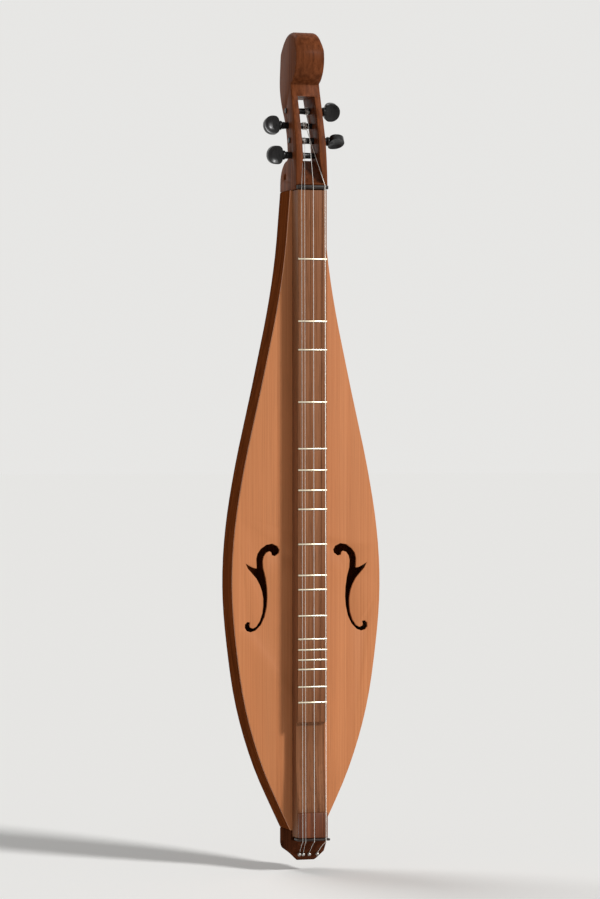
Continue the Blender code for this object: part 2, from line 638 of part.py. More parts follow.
def thumb_piece(name, cheek):
    """The peg's flattened thumb piece, dished on both faces."""
    mesh_bm = bmesh.new()
    bmesh.ops.create_uvsphere(mesh_bm, u_segments=24, v_segments=12, radius=1.0)
    bmesh.ops.rotate(mesh_bm, matrix=Matrix.Rotation(math.radians(90), 3, "X"), verts=mesh_bm.verts)
    middle = cheek + COLLAR_STAND_OFF + COLLAR_LENGTH + THUMB_HALF_LENGTH - 0.0004
    for vert in mesh_bm.verts:
        round_share = min(math.hypot(vert.co.x, vert.co.z), 1.0)
        thickness = THUMB_MIDDLE_THICKNESS + (THUMB_RIM_THICKNESS - THUMB_MIDDLE_THICKNESS) * round_share ** 3
        vert.co.y = math.copysign(thickness * math.sqrt(max(1 - round_share ** 5, 0.0)), vert.co.y)
        vert.co.x = middle + vert.co.x * THUMB_HALF_LENGTH
        vert.co.z = vert.co.z * THUMB_HALF_HEIGHT
    return add_mesh(name, mesh_bm, None, CUTTERS)


def build_pegs(group):
    for word, side in PEG_SIDES.items():
        depth, height = peg_place(word)
        cheek = peghead_half_width(height)
        peg = turned_peg(f"peg_{word}", group, cheek)
        thumb = thumb_piece(f"thumb_{word}", cheek)
        for piece in (peg, thumb):
            faced = Matrix.Rotation(math.radians(180), 4, "Z") if side < 0 else Matrix.Identity(4)
            rest = Matrix.Rotation(math.radians(PEG_TURNS_AT_REST[word]), 4, "X")
            piece.data.transform(faced @ rest)
            piece.location = place(0.0, depth, height)
        thumb.hide_render = True
        thumb.display_type = "WIRE"
        joined = peg.modifiers.new("Thumb piece", "BOOLEAN")
        joined.operation = "UNION"
        joined.solver = "EXACT"
        joined.object = thumb


def winding_radius(string, peg):
    """Radius of the middle of a string's wire as it winds on its peg."""
    reach = WINDING_PLACES[string] * PEG_SIDES[peg]
    return peg_radius(abs(reach) + 0.004) + STRING_RADII[string] + GAP


def build_strings(group):
    for string, peg in STRING_PEGS.items():
        radius = STRING_RADII[string]
        depth, height = peg_place(peg)
        around = winding_radius(string, peg)
        pitch = 2 * radius + WINDING_GAP
        centre = place(WINDING_PLACES[string], depth, height)
        points = []
        for step in range(WINDING_TURNS * WINDING_POINTS + 1):
            turn = step / WINDING_POINTS
            angle = math.tau * turn
            points.append(centre + Vector(((turn - WINDING_TURNS / 2) * pitch,
                                           -around * math.cos(angle), around * math.sin(angle))))
        least = min((points[i] - points[i + WINDING_POINTS]).length - 2 * radius
                    for i in range(len(points) - WINDING_POINTS))
        print(f"least gap in the winding of the {string} string: {least * 1000:.2f} mm")
        wire(f"winding_{string}", points, radius, "steel", group)

        across = STRING_PLACES[string]
        over_nut = -(NUT_PROUD + GAP + radius)
        over_saddle = -(SADDLE_PROUD + GAP + radius)
        before_winding = depth - (around + 2 * radius + GAP)
        saddle_end = -(BRIDGE_BLOCK_END + SADDLE_THICKNESS + 2 * GAP)
        pin_across = sorted(PIN_PLACES)[sorted(STRING_PLACES, key=STRING_PLACES.get).index(string)]
        pin_height = -(BODY_LENGTH + PIN_DROP) + PIN_RADIUS + GAP + radius
        before_pin = tail_face_depth(pin_height) - 0.4 * PIN_PROUD
        route = [place(WINDING_PLACES[string], before_winding, height),
                 place(across, over_nut, NUT_THICKNESS), place(across, over_nut, GAP),
                 place(across, over_saddle, -BRIDGE_BLOCK_END),
                 place(across, over_saddle, saddle_end - 0.0008),
                 place((2 * across + pin_across) / 3, 0.0, saddle_end - 0.0040),
                 place(pin_across, before_pin, pin_height)]
        wire(f"string_{string}", route, radius, "steel", group)


def build_pins(group):
    """Round-headed pins driven into the tail's face, one for each string."""
    head = -PIN_PROUD
    rings = [(0.0090, PIN_RADIUS * 0.5), (0.0075, PIN_RADIUS), (head, PIN_RADIUS), (head, PIN_HEAD_RADIUS),
             (head - 0.0006, PIN_HEAD_RADIUS * 0.9), (head - 0.0010, PIN_HEAD_RADIUS * 0.4)]
    face = tail_face_depth(-(BODY_LENGTH + PIN_DROP))
    for index, across in enumerate(PIN_PLACES, start=1):
        mesh_bm = turned([(face + reach, radius) for reach, radius in rings], 12)
        bmesh.ops.rotate(mesh_bm, matrix=Matrix.Rotation(math.radians(90), 3, "Z"), verts=mesh_bm.verts)
        bmesh.ops.translate(mesh_bm, vec=place(across, 0.0, -(BODY_LENGTH + PIN_DROP)), verts=mesh_bm.verts)
        add_mesh(f"tail_pin_{index}", mesh_bm, "steel", group)


clear_scene()
DULCIMER = collection("mountain_dulcimer")
CUTTERS = collection("cutters")
build_sound_box(DULCIMER)
build_braces(DULCIMER)
build_blocks(DULCIMER)
build_fretboard(DULCIMER)
build_peghead(DULCIMER)
build_pegs(DULCIMER)
build_strings(DULCIMER)
build_pins(DULCIMER)
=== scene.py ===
"""Looks of the mountain dulcimer: woods, ebony pegs, frets and strings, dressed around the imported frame."""

import json
import logging
import math
from dataclasses import dataclass, field
from enum import Enum
from functools import cache

import bpy
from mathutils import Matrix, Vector

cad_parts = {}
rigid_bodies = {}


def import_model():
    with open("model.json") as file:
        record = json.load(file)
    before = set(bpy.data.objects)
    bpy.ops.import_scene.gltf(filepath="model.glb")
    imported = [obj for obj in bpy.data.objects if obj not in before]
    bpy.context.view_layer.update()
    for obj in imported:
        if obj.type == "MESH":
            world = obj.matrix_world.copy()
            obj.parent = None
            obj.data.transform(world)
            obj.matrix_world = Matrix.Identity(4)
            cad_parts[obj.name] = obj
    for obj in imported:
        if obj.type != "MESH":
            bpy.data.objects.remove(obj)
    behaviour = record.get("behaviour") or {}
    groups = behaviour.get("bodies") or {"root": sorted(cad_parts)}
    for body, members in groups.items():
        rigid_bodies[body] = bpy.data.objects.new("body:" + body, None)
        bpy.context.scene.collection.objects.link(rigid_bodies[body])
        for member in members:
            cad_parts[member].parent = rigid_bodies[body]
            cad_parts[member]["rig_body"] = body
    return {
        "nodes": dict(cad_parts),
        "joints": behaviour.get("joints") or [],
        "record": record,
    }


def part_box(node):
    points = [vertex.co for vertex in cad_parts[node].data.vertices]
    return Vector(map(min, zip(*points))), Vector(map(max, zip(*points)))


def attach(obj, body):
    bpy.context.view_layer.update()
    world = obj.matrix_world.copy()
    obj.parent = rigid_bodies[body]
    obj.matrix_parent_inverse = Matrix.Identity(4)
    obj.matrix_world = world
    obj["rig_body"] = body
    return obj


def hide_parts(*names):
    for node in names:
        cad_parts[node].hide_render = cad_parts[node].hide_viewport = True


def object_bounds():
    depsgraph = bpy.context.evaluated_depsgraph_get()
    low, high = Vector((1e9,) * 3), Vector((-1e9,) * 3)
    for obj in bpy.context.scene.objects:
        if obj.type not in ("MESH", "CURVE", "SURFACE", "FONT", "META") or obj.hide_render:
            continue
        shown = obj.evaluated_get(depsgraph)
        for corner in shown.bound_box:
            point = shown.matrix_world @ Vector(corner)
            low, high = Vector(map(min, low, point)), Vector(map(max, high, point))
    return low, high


LOG = logging.getLogger("dulcimer")
for leftover in list(bpy.data.objects):
    bpy.data.objects.remove(leftover, do_unlink=True)
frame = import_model()
CAD_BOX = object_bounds()

Colour = tuple[float, float, float]


class Grain(Enum):
    """How strongly a wood shows its growth lines."""

    FINE = 1
    OPEN = 2


def deselect_all() -> None:
    """Leave edit mode and select nothing."""
    if bpy.context.object and bpy.context.object.mode != "OBJECT":
        bpy.ops.object.mode_set(mode="OBJECT")
    bpy.ops.object.select_all(action="DESELECT")


def make_active(piece: bpy.types.Object) -> None:
    """Select one object alone and make it active.

    Args:
        piece: the object to select.
    """
    deselect_all()
    piece.select_set(True)
    bpy.context.view_layer.objects.active = piece


def settle(piece: bpy.types.Object, angle: float = 35.0) -> bpy.types.Object:
    """Apply a piece's modifiers and its place, and smooth its round faces.

    Args:
        piece: the object to finish.
        angle: edges sharper than this many degrees stay sharp.

    Returns:
        The same object, at the origin with its place in its mesh.
    """
    make_active(piece)
    for modifier in list(piece.modifiers):
        bpy.ops.object.modifier_apply(modifier=modifier.name)
    bpy.ops.object.transform_apply(location=True, rotation=True, scale=True)
    bpy.ops.object.shade_smooth_by_angle(angle=math.radians(angle))
    return piece


def merged_copy(node: str) -> bpy.types.Object:
    """A copy of a CAD node with its loose triangles merged into whole faces.

    Args:
        node: the node's name.

    Returns:
        The copy, not yet riding on a body.
    """
    piece = bpy.data.objects.new(node + "_finished", frame["nodes"][node].data.copy())
    bpy.context.scene.collection.objects.link(piece)
    make_active(piece)
    bpy.ops.object.mode_set(mode="EDIT")
    bpy.ops.mesh.select_all(action="SELECT")
    bpy.ops.mesh.remove_doubles(threshold=0.00002)
    bpy.ops.mesh.dissolve_limited(angle_limit=math.radians(0.5))
    bpy.ops.mesh.normals_make_consistent(inside=False)
    bpy.ops.object.mode_set(mode="OBJECT")
    return piece


def choose(piece: bpy.types.Object, kind: str, chosen: list[int]) -> None:
    """Go into edit mode with only the given edges or faces selected.

    Args:
        piece: the object to edit.
        kind: "EDGE" or "FACE".
        chosen: the indices of the elements to select.
    """
    make_active(piece)
    bpy.ops.object.mode_set(mode="EDIT")
    bpy.ops.mesh.select_mode(type=kind)
    bpy.ops.mesh.select_all(action="DESELECT")
    bpy.ops.object.mode_set(mode="OBJECT")
    elements = piece.data.edges if kind == "EDGE" else piece.data.polygons
    for index in chosen:
        elements[index].select = True
    bpy.ops.object.mode_set(mode="EDIT")


def round_edges(piece: bpy.types.Object, width: float, segments: int, angle: float) -> None:
    """Add a rounding, still to be applied, to the sharp edges of a piece.

    Args:
        piece: the object to round.
        width: the rounding's width in metres.
        segments: how many faces round each edge.
        angle: only edges sharper than this many degrees are rounded.
    """
    rounding = piece.modifiers.new("Rounding", "BEVEL")
    rounding.width = width
    rounding.segments = segments
    rounding.limit_method = "ANGLE"
    rounding.angle_limit = math.radians(angle)


def combine(piece: bpy.types.Object, other: bpy.types.Object, operation: str) -> None:
    """Join or intersect a piece with another object, which is used up.

    Args:
        piece: the object that takes the result.
        other: the object to join it or cut it with.
        operation: "UNION" or "INTERSECT".
    """
    combined = piece.modifiers.new("Combined", "BOOLEAN")
    combined.operation = operation
    combined.solver = "EXACT"
    combined.object = other
    make_active(piece)
    bpy.ops.object.modifier_apply(modifier=combined.name)
    bpy.data.objects.remove(other, do_unlink=True)


def stand_in(piece: bpy.types.Object, node: str, angle: float = 35.0) -> None:
    """Finish a piece and let it take a CAD node's place on the node's body.

    Args:
        piece: the modelled piece.
        node: the name of the node it replaces.
        angle: edges sharper than this many degrees stay sharp.
    """
    settle(piece, angle)
    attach(piece, frame["nodes"][node]["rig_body"])
    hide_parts(node)


def softened(node: str, width: float, segments: int = 3, angle: float = 38.0) -> bpy.types.Object:
    """A copy of a CAD node with its corners rounded, standing in for it.

    Args:
        node: the node's name.
        width: the rounding's width in metres.
        segments: how many faces round each corner.
        angle: only edges sharper than this many degrees are rounded.

    Returns:
        The finished copy, riding on the node's body.
    """
    piece = merged_copy(node)
    if width > 0:
        round_edges(piece, width, segments, angle)
    stand_in(piece, node)
    return piece


def paint(piece: bpy.types.Object, material: bpy.types.Material) -> None:
    """Give a piece one material in place of those it has."""
    piece.data.materials.clear()
    piece.data.materials.append(material)


def dress(piece: bpy.types.Object, material: bpy.types.Material) -> None:
    """Give a piece its one material."""
    paint(piece, material)


class Tree:
    """A small helper that builds a material's node tree."""

    def __init__(self, name: str) -> None:
        """Start a material with its Principled shader."""
        self.material = bpy.data.materials.new(name)
        self.material.use_nodes = True
        self.nodes = self.material.node_tree.nodes
        self.links = self.material.node_tree.links
        self.shader = self.nodes["Principled BSDF"]
        self.coordinates = self.nodes.new("ShaderNodeTexCoord").outputs["Object"]

    def mapped(self, scale: Colour) -> bpy.types.NodeSocket:
        """Object coordinates stretched along each axis.

        Args:
            scale: the stretch along X, Y and Z.

        Returns:
            The socket with the stretched coordinates.
        """
        mapping = self.nodes.new("ShaderNodeMapping")
        mapping.inputs["Scale"].default_value = scale
        self.links.new(self.coordinates, mapping.inputs["Vector"])
        return mapping.outputs["Vector"]

    def noise(self, scale: Colour, detail: float = 4.0, distortion: float = 0.0) -> bpy.types.NodeSocket:
        """Noise on stretched coordinates.

        Args:
            scale: how many times per metre it changes along X, Y and Z.
            detail: how many finer layers it has.
            distortion: how much its lines waver.

        Returns:
            The socket with the noise's value.
        """
        made = self.nodes.new("ShaderNodeTexNoise")
        made.inputs["Scale"].default_value = 1.0
        made.inputs["Detail"].default_value = detail
        made.inputs["Distortion"].default_value = distortion
        self.links.new(self.mapped(scale), made.inputs["Vector"])
        return made.outputs["Fac"]

    def ramp(self, source: bpy.types.NodeSocket, low: float, high: float,
             dark: Colour, light: Colour) -> bpy.types.NodeSocket:
        """A two-colour ramp over part of a value's range.

        Args:
            source: the value.
            low: the value at which the ramp starts.
            high: the value at which it ends.
            dark: the colour below low.
            light: the colour above high.

        Returns:
            The socket with the colour.
        """
        made = self.nodes.new("ShaderNodeValToRGB")
        made.color_ramp.elements[0].position = low
        made.color_ramp.elements[1].position = high
        made.color_ramp.elements[0].color = (*dark, 1.0)
        made.color_ramp.elements[1].color = (*light, 1.0)
        self.links.new(source, made.inputs["Fac"])
        return made.outputs["Color"]

    def mixed(self, a: bpy.types.NodeSocket, b: bpy.types.NodeSocket, share: float,
              how: str = "MULTIPLY") -> bpy.types.NodeSocket:
        """Two colours mixed by a constant share.

        Args:
            a: the first colour.
            b: the colour laid over it.
            share: how much of the second colour counts.
            how: the blend type.

        Returns:
            The socket with the mixed colour.
        """
        made = self.nodes.new("ShaderNodeMix")
        made.data_type = "RGBA"
        made.blend_type = how
        made.inputs["Factor"].default_value = share
        self.links.new(a, made.inputs[6])
        self.links.new(b, made.inputs[7])
        return made.outputs[2]

    def ranged(self, source: bpy.types.NodeSocket, low: float, high: float) -> bpy.types.NodeSocket:
        """A value from 0 to 1 spread over another range.

        Args:
            source: the value.
            low: what 0 becomes.
            high: what 1 becomes.

        Returns:
            The socket with the new value.
        """
        made = self.nodes.new("ShaderNodeMapRange")
        made.inputs["To Min"].default_value = low
        made.inputs["To Max"].default_value = high
        self.links.new(source, made.inputs["Value"])
        return made.outputs["Result"]

    def bump(self, source: bpy.types.NodeSocket, strength: float, distance: float) -> None:
        """Raise the surface by a value, on top of any bump already there.

        Args:
            source: the value that raises it.
            strength: how much of the bump counts.
            distance: the height of a full value in metres.
        """
        made = self.nodes.new("ShaderNodeBump")
        made.inputs["Strength"].default_value = strength
        made.inputs["Distance"].default_value = distance
        self.links.new(source, made.inputs["Height"])
        if self.shader.inputs["Normal"].is_linked:
            self.links.new(self.shader.inputs["Normal"].links[0].from_socket, made.inputs["Normal"])
        self.links.new(made.outputs["Normal"], self.shader.inputs["Normal"])


@dataclass(frozen=True)
class WoodFinish:
    """A finished wood whose grain runs along the instrument.

    lines_across and lines_deep are how often its growth lines change per metre along X and Y, and
    figure is how strongly its colour drifts.
    """

    name: str
    light: Colour
    dark: Colour
    grain: Grain
    roughness: float = 0.50
    gloss: float = 0.30
    lines_across: float = 420.0
    lines_deep: float = 90.0
    figure: float = 0.5

    @cache
    def build(self) -> bpy.types.Material:
        """Make the material once.

        Returns:
            A node material with growth lines, slow colour drift and pores.
        """
        tree = Tree(self.name)
        lines = tree.noise((self.lines_across, self.lines_deep, 2.2), detail=3.0, distortion=0.25)
        base = tree.ramp(lines, 0.32, 0.68, self.dark, self.light)
        drift = tree.noise((34.0, 34.0, 3.0), detail=2.0)
        cloud = tree.ramp(drift, 0.30, 0.72, (1 - self.figure * 0.5,) * 3, (1.0, 1.0, 1.0))
        colour = tree.mixed(base, cloud, 1.0)
        pore_scale = (1500.0, 1500.0, 38.0) if self.grain is Grain.OPEN else (2200.0, 2200.0, 16.0)
        pores = tree.noise(pore_scale, detail=2.0)
        depth = 0.55 if self.grain is Grain.OPEN else 0.82
        speckle = tree.ramp(pores, 0.30, 0.46, (depth,) * 3, (1.0, 1.0, 1.0))
        colour = tree.mixed(colour, speckle, 0.8)
        tree.links.new(colour, tree.shader.inputs["Base Color"])
        tree.links.new(tree.ranged(drift, self.roughness - 0.07, self.roughness + 0.07),
                       tree.shader.inputs["Roughness"])
        tree.shader.inputs["Specular IOR Level"].default_value = self.gloss
        tree.bump(lines, 0.12, 0.0002)
        tree.bump(pores, 0.18 if self.grain is Grain.OPEN else 0.06, 0.0002)
        return tree.material


@dataclass(frozen=True)
class DarkFinish:
    """A dense dark wood, oiled or polished."""

    name: str
    colour: Colour
    roughness: float
    coat: float
    gloss: float

    @cache
    def build(self) -> bpy.types.Material:
        """Make the material once.

        Returns:
            A node material with faint streaks and rubbed patches.
        """
        tree = Tree(self.name)
        streaks = tree.noise((500.0, 500.0, 60.0), detail=3.0)
        brighter = tuple(min(1.0, value * 2.4) for value in self.colour)
        streaked = tree.ramp(streaks, 0.35, 0.75, self.colour, brighter)
        tree.links.new(streaked, tree.shader.inputs["Base Color"])
        rubbed = tree.noise((160.0, 160.0, 160.0), detail=4.0)
        tree.links.new(tree.ranged(rubbed, self.roughness - 0.06, self.roughness + 0.08),
                       tree.shader.inputs["Roughness"])
        tree.shader.inputs["Specular IOR Level"].default_value = self.gloss
        tree.shader.inputs["Coat Weight"].default_value = self.coat
        tree.shader.inputs["Coat Roughness"].default_value = 0.12
        tree.bump(streaks, 0.05, 0.0001)
        return tree.material


@dataclass(frozen=True)
class MetalFinish:
    """Drawn or worn metal, with the turns of wrap per metre where it has one."""

    name: str
    colour: Colour
    roughness: float
    wrap_per_metre: float = 0.0

    @cache
    def build(self) -> bpy.types.Material:
        """Make the material once.

        Returns:
            A node material with fine scratches and, on a wound string, its wrap.
        """
        tree = Tree(self.name)
        tree.shader.inputs["Metallic"].default_value = 1.0
        scratches = tree.noise((900.0, 900.0, 220.0), detail=5.0)
        worn = tuple(value * 0.82 for value in self.colour)
        tree.links.new(tree.ramp(scratches, 0.3, 0.7, worn, self.colour), tree.shader.inputs["Base Color"])
        tree.links.new(tree.ranged(scratches, self.roughness - 0.05, self.roughness + 0.10),
                       tree.shader.inputs["Roughness"])
        if self.wrap_per_metre:
            wave = tree.nodes.new("ShaderNodeTexWave")
            wave.bands_direction = "Z"
            wave.inputs["Scale"].default_value = self.wrap_per_metre
            tree.links.new(tree.coordinates, wave.inputs["Vector"])
            tree.bump(wave.outputs["Fac"], 0.5, 0.0001)
        return tree.material


TOP_WOOD = WoodFinish("soundboard_redwood", (0.575, 0.222, 0.086), (0.495, 0.175, 0.062), Grain.FINE,
                      lines_across=1300.0, figure=0.22, gloss=0.22)
SIDE_WOOD = WoodFinish("side_walnut", (0.215, 0.054, 0.013), (0.108, 0.025, 0.006), Grain.OPEN,
                       roughness=0.62, lines_across=160.0, lines_deep=420.0, figure=0.45, gloss=0.0)
HEAD_WOOD = WoodFinish("carved_walnut", (0.205, 0.060, 0.021), (0.108, 0.029, 0.009), Grain.OPEN,
                       roughness=0.42, gloss=0.03, lines_across=240.0, lines_deep=240.0)
# The same walnut as carved_walnut, about 40% darker: the walnut is real, and the extra darkness is painted
# shade for the down-facing tail end.
SHADE_DARKENED_TAIL_WOOD = WoodFinish("tail_walnut_painted_shade", (0.125, 0.036, 0.015), (0.062, 0.017, 0.007), Grain.OPEN,
                       roughness=0.55, gloss=0.0, lines_across=240.0, lines_deep=240.0)
BOARD_WOOD = WoodFinish("fretboard_walnut", (0.325, 0.138, 0.064), (0.190, 0.070, 0.030), Grain.OPEN,
                        roughness=0.42, gloss=0.07, lines_across=620.0, figure=0.40)
BRIDGE_WOOD = WoodFinish("bridge_walnut", (0.230, 0.066, 0.023), (0.105, 0.028, 0.010), Grain.OPEN,
                         roughness=0.27, gloss=0.30, lines_across=620.0, figure=0.30)
INNER_WOOD = WoodFinish("unfinished_spruce", (0.58, 0.40, 0.23), (0.44, 0.28, 0.15), Grain.FINE,
                        roughness=0.7, gloss=0.2)
DARK_WOOD = DarkFinish("nut_and_saddle_wood", (0.012, 0.007, 0.005), 0.42, 0.0, 0.25)
EBONY = DarkFinish("peg_ebony", (0.0050, 0.0045, 0.0045), 0.30, 0.05, 0.22)
FRET_METAL = MetalFinish("fret_wire", (0.80, 0.71, 0.54), 0.28)
PLAIN_STEEL = MetalFinish("plain_string_steel", (0.93, 0.91, 0.87), 0.42)
WOUND_STEEL = MetalFinish("wound_string", (0.90, 0.86, 0.79), 0.42, wrap_per_metre=900.0)
PIN_STEEL = MetalFinish("tail_pin_steel", (0.42, 0.40, 0.37), 0.34)


def string_steel(node: str) -> bpy.types.Material:
    """The metal of a string or winding: wound for the bass, plain for the others."""
    return (WOUND_STEEL if "bass" in node else PLAIN_STEEL).build()


@dataclass
class SoundBox:
    """The plates, sides, linings, braces and blocks of the body."""

    rounding: dict[str, float] = field(default_factory=lambda: {
        "soundboard": 0.0003, "back_plate": 0.0009, "side_left": 0.0, "side_right": 0.0})
    plates: dict[str, WoodFinish] = field(default_factory=lambda: {
        "soundboard": TOP_WOOD, "back_plate": SIDE_WOOD, "side_left": SIDE_WOOD, "side_right": SIDE_WOOD})
    slots: dict[str, str] = field(default_factory=lambda: {
        "soundboard": "top_wood", "back_plate": "walnut", "side_left": "walnut", "side_right": "walnut"})
    tail_rounding: float = 0.0006

    def build(self) -> list[str]:
        """Finish every wooden piece of the body.

        Returns:
            The names of the nodes that were dressed.
        """
        for node, finish in self.plates.items():
            dress(softened(node, self.rounding[node]), finish.build())
        inside = [node for node in frame["nodes"] if "lining" in node or "brace" in node]
        inside += ["head_block", "inner_tail_block"]
        for node in inside:
            paint(frame["nodes"][node], INNER_WOOD.build())
        # The tail block gets the darkened walnut, which paints the shade on its down-facing end.
        dress(softened("tail_block", self.tail_rounding), SHADE_DARKENED_TAIL_WOOD.build())
        return [*self.plates, *inside, "tail_block"]


@dataclass
class Fretboard:
    """The fretboard, its frets, nut, bridge block and saddle."""

    board_rounding: float = 0.0007
    bridge_rounding: float = 0.0019
    nut_rounding: float = 0.0004
    fret_end_rounding: float = 0.00035

    def build(self) -> list[str]:
        """Finish the board and all that stands on it.

        Returns:
            The names of the nodes that were dressed.
        """
        dress(softened("fretboard", self.board_rounding, angle=60.0), BOARD_WOOD.build())
        dress(softened("bridge_block", self.bridge_rounding, segments=5), BRIDGE_WOOD.build())
        for node in ("nut", "saddle"):
            dress(softened(node, self.nut_rounding), DARK_WOOD.build())
        frets = sorted(node for node in frame["nodes"] if node.startswith("fret_"))
        for node in frets:
            fret = softened(node, self.fret_end_rounding, segments=2, angle=70.0)
            dress(fret, FRET_METAL.build())
        return ["fretboard", "bridge_block", "nut", "saddle", *frets]


@dataclass
class Peghead:
    """The carved pegbox with its rolled scroll."""

    edge_rounding: float = 0.0007
    scroll_depth: float = -0.0100
    scroll_height: float = 0.0330
    scroll_radius: float = 0.03006
    scroll_half_width: float = 0.0163
    crown: float = 0.0066
    crown_segments: int = 9
    neck_top: float = -0.0200
    neck_size: tuple[float, float, float] = (0.066, 0.120, 0.180)

    def crown_form(self) -> bpy.types.Object:
        """The form the scroll is carved to.

        Returns:
            A drum with rounded rims that widens downwards, so that the rounding fades out on the neck.
        """
        deselect_all()
        bpy.ops.mesh.primitive_cylinder_add(
            vertices=128, radius=self.scroll_radius, depth=2 * self.scroll_half_width,
            rotation=(0.0, math.radians(90), 0.0), location=(0.0, self.scroll_depth, self.scroll_height))
        drum = bpy.context.object
        round_edges(drum, self.crown, self.crown_segments, 60.0)
        bpy.ops.object.modifier_apply(modifier="Rounding")
        bpy.ops.mesh.primitive_cube_add(size=1.0, location=(0.0, self.scroll_depth,
                                                            self.neck_top - self.neck_size[2] / 2))
        neck = bpy.context.object
        neck.scale = self.neck_size
        deselect_all()
        drum.select_set(True)
        neck.select_set(True)
        bpy.context.view_layer.objects.active = drum
        bpy.ops.object.transform_apply(location=True, rotation=True, scale=True)
        bpy.ops.object.join()
        bpy.ops.object.mode_set(mode="EDIT")
        bpy.ops.mesh.select_all(action="SELECT")
        bpy.ops.mesh.convex_hull()
        bpy.ops.object.mode_set(mode="OBJECT")
        return drum

    def build(self) -> list[str]:
        """Finish the pegbox, with the scroll's rims crowned and the cheeks' edges eased.

        Returns:
            The name of the node that was dressed.
        """
        piece = merged_copy("peghead")
        combine(piece, self.crown_form(), "INTERSECT")
        round_edges(piece, self.edge_rounding, 2, 50.0)
        stand_in(piece, "peghead")
        dress(piece, HEAD_WOOD.build())
        return ["peghead"]


@dataclass
class Peg:
    """One turned ebony peg with a dished thumb piece."""

    node: str
    joint: dict
    rest_turn: float
    first_ring: float = 0.0010
    tip_radius: float = 0.0030
    neck_radius: float = 0.0038
    collar_radius: float = 0.0052
    collar_length: float = 0.0035
    thumb_length: float = 0.0172
    thumb_height: float = 0.0206
    thumb_thickness: float = 0.0066
    outer_corner: float = 0.0098
    inner_corner: float = 0.0055
    rim_width: float = 0.0018
    rim_rounding: float = 0.0009
    dish_step: float = 0.0018
    dish_depth: float = 0.0020
    edge_rounding: float = 0.0004

    def shaft(self, tip: Vector, way: float, neck: float) -> bpy.types.Object:
        """The turned shaft, drawn out ring by ring from its tip.

        Args:
            tip: the centre of the shaft's free end.
            way: 1 when the thumb piece is at +X, else -1.
            neck: distance from the tip to the collar.

        Returns:
            The shaft as an object with its place applied.
        """
        deselect_all()
        bpy.ops.mesh.primitive_cylinder_add(
            vertices=40, radius=self.tip_radius, depth=self.first_ring, rotation=(0.0, math.radians(90), 0.0),
            location=tip + Vector((way * self.first_ring / 2, 0.0, 0.0)))
        shaft = bpy.context.object
        bpy.ops.object.transform_apply(location=True, rotation=True, scale=True)
        end = max(shaft.data.polygons, key=lambda face: way * face.center.x).index
        choose(shaft, "FACE", [end])
        radius, reach = self.tip_radius, self.first_ring
        turned = [(neck - 0.0040, self.neck_radius), (neck - 0.0015, self.neck_radius + 0.0004),
                  (neck - 0.0010, self.neck_radius - 0.0003), (neck, self.collar_radius - 0.0005),
                  (neck + 0.0008, self.collar_radius), (neck + 0.0022, self.collar_radius),
                  (neck + 0.0030, self.collar_radius - 0.0007),
                  (neck + self.collar_length, self.collar_radius - 0.0016),
                  (neck + self.collar_length + 0.0030, self.tip_radius)]
        for place, wanted in turned:
            step = way * (place - reach)
            bpy.ops.mesh.extrude_region_move(TRANSFORM_OT_translate={"value": (step, 0.0, 0.0)})
            centre = tip + Vector((way * place, 0.0, 0.0))
            share = wanted / radius
            bpy.ops.transform.resize(value=(1.0, share, share), center_override=centre)
            radius, reach = wanted, place
        bpy.ops.object.mode_set(mode="OBJECT")
        return shaft

    def thumb(self, centre: Vector, way: float) -> bpy.types.Object:
        """The thumb piece: blunt at the shaft, round outside, dished on both faces.

        Args:
            centre: the middle of the thumb piece.
            way: 1 when it is at the shaft's +X end, else -1.

        Returns:
            The thumb piece as an object with its place applied.
        """
        deselect_all()
        bpy.ops.mesh.primitive_cube_add(size=1.0, location=centre)
        thumb = bpy.context.object
        thumb.scale = (self.thumb_length, self.thumb_thickness, self.thumb_height)
        bpy.ops.object.transform_apply(location=False, rotation=False, scale=True)
        for side, radius, segments in ((way, self.outer_corner, 12), (-way, self.inner_corner, 8)):
            corners = []
            for edge in thumb.data.edges:
                ends = [thumb.data.vertices[index].co for index in edge.vertices]
                upright = abs(ends[0].x - ends[1].x) + abs(ends[0].z - ends[1].z) < 1e-6
                if upright and ends[0].x * side > self.thumb_length * 0.49:
                    corners.append(edge.index)
            choose(thumb, "EDGE", corners)
            bpy.ops.mesh.bevel(offset=radius, segments=segments, affect="EDGES")
            bpy.ops.object.mode_set(mode="OBJECT")
        broad = [face.index for face in thumb.data.polygons if abs(face.normal.y) > 0.9]
        choose(thumb, "FACE", broad)
        bpy.ops.mesh.inset(thickness=self.rim_width, depth=-self.dish_depth * 0.2)
        for share in (0.4, 0.25, 0.15):
            bpy.ops.mesh.inset(thickness=self.dish_step, depth=-self.dish_depth * share)
        bpy.ops.object.mode_set(mode="OBJECT")
        round_edges(thumb, self.rim_rounding, 4, 60.0)
        bpy.ops.object.modifier_apply(modifier="Rounding")
        thumb.rotation_euler.x = math.radians(way * self.rest_turn)
        bpy.ops.object.transform_apply(location=True, rotation=True, scale=True)
        return thumb

    def build(self) -> None:
        """Join the shaft and the thumb piece into one finished peg on its joint's axis."""
        low, high = (Vector(corner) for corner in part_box(self.node))
        axis = Vector(self.joint["pos_m"])
        way = 1.0 if high.x > -low.x else -1.0
        tip_x, far_x = (low.x, high.x) if way > 0 else (high.x, low.x)
        tip = Vector((tip_x, axis.y, axis.z))
        total = abs(far_x - tip_x)
        neck = total - self.thumb_length - self.collar_length + 0.0004
        peg = self.shaft(tip, way, neck)
        thumb = self.thumb(Vector((far_x - way * self.thumb_length / 2, axis.y, axis.z)), way)
        combine(peg, thumb, "UNION")
        round_edges(peg, self.edge_rounding, 2, 40.0)
        peg.name = self.node + "_finished"
        stand_in(peg, self.node, 40.0)
        dress(peg, EBONY.build())


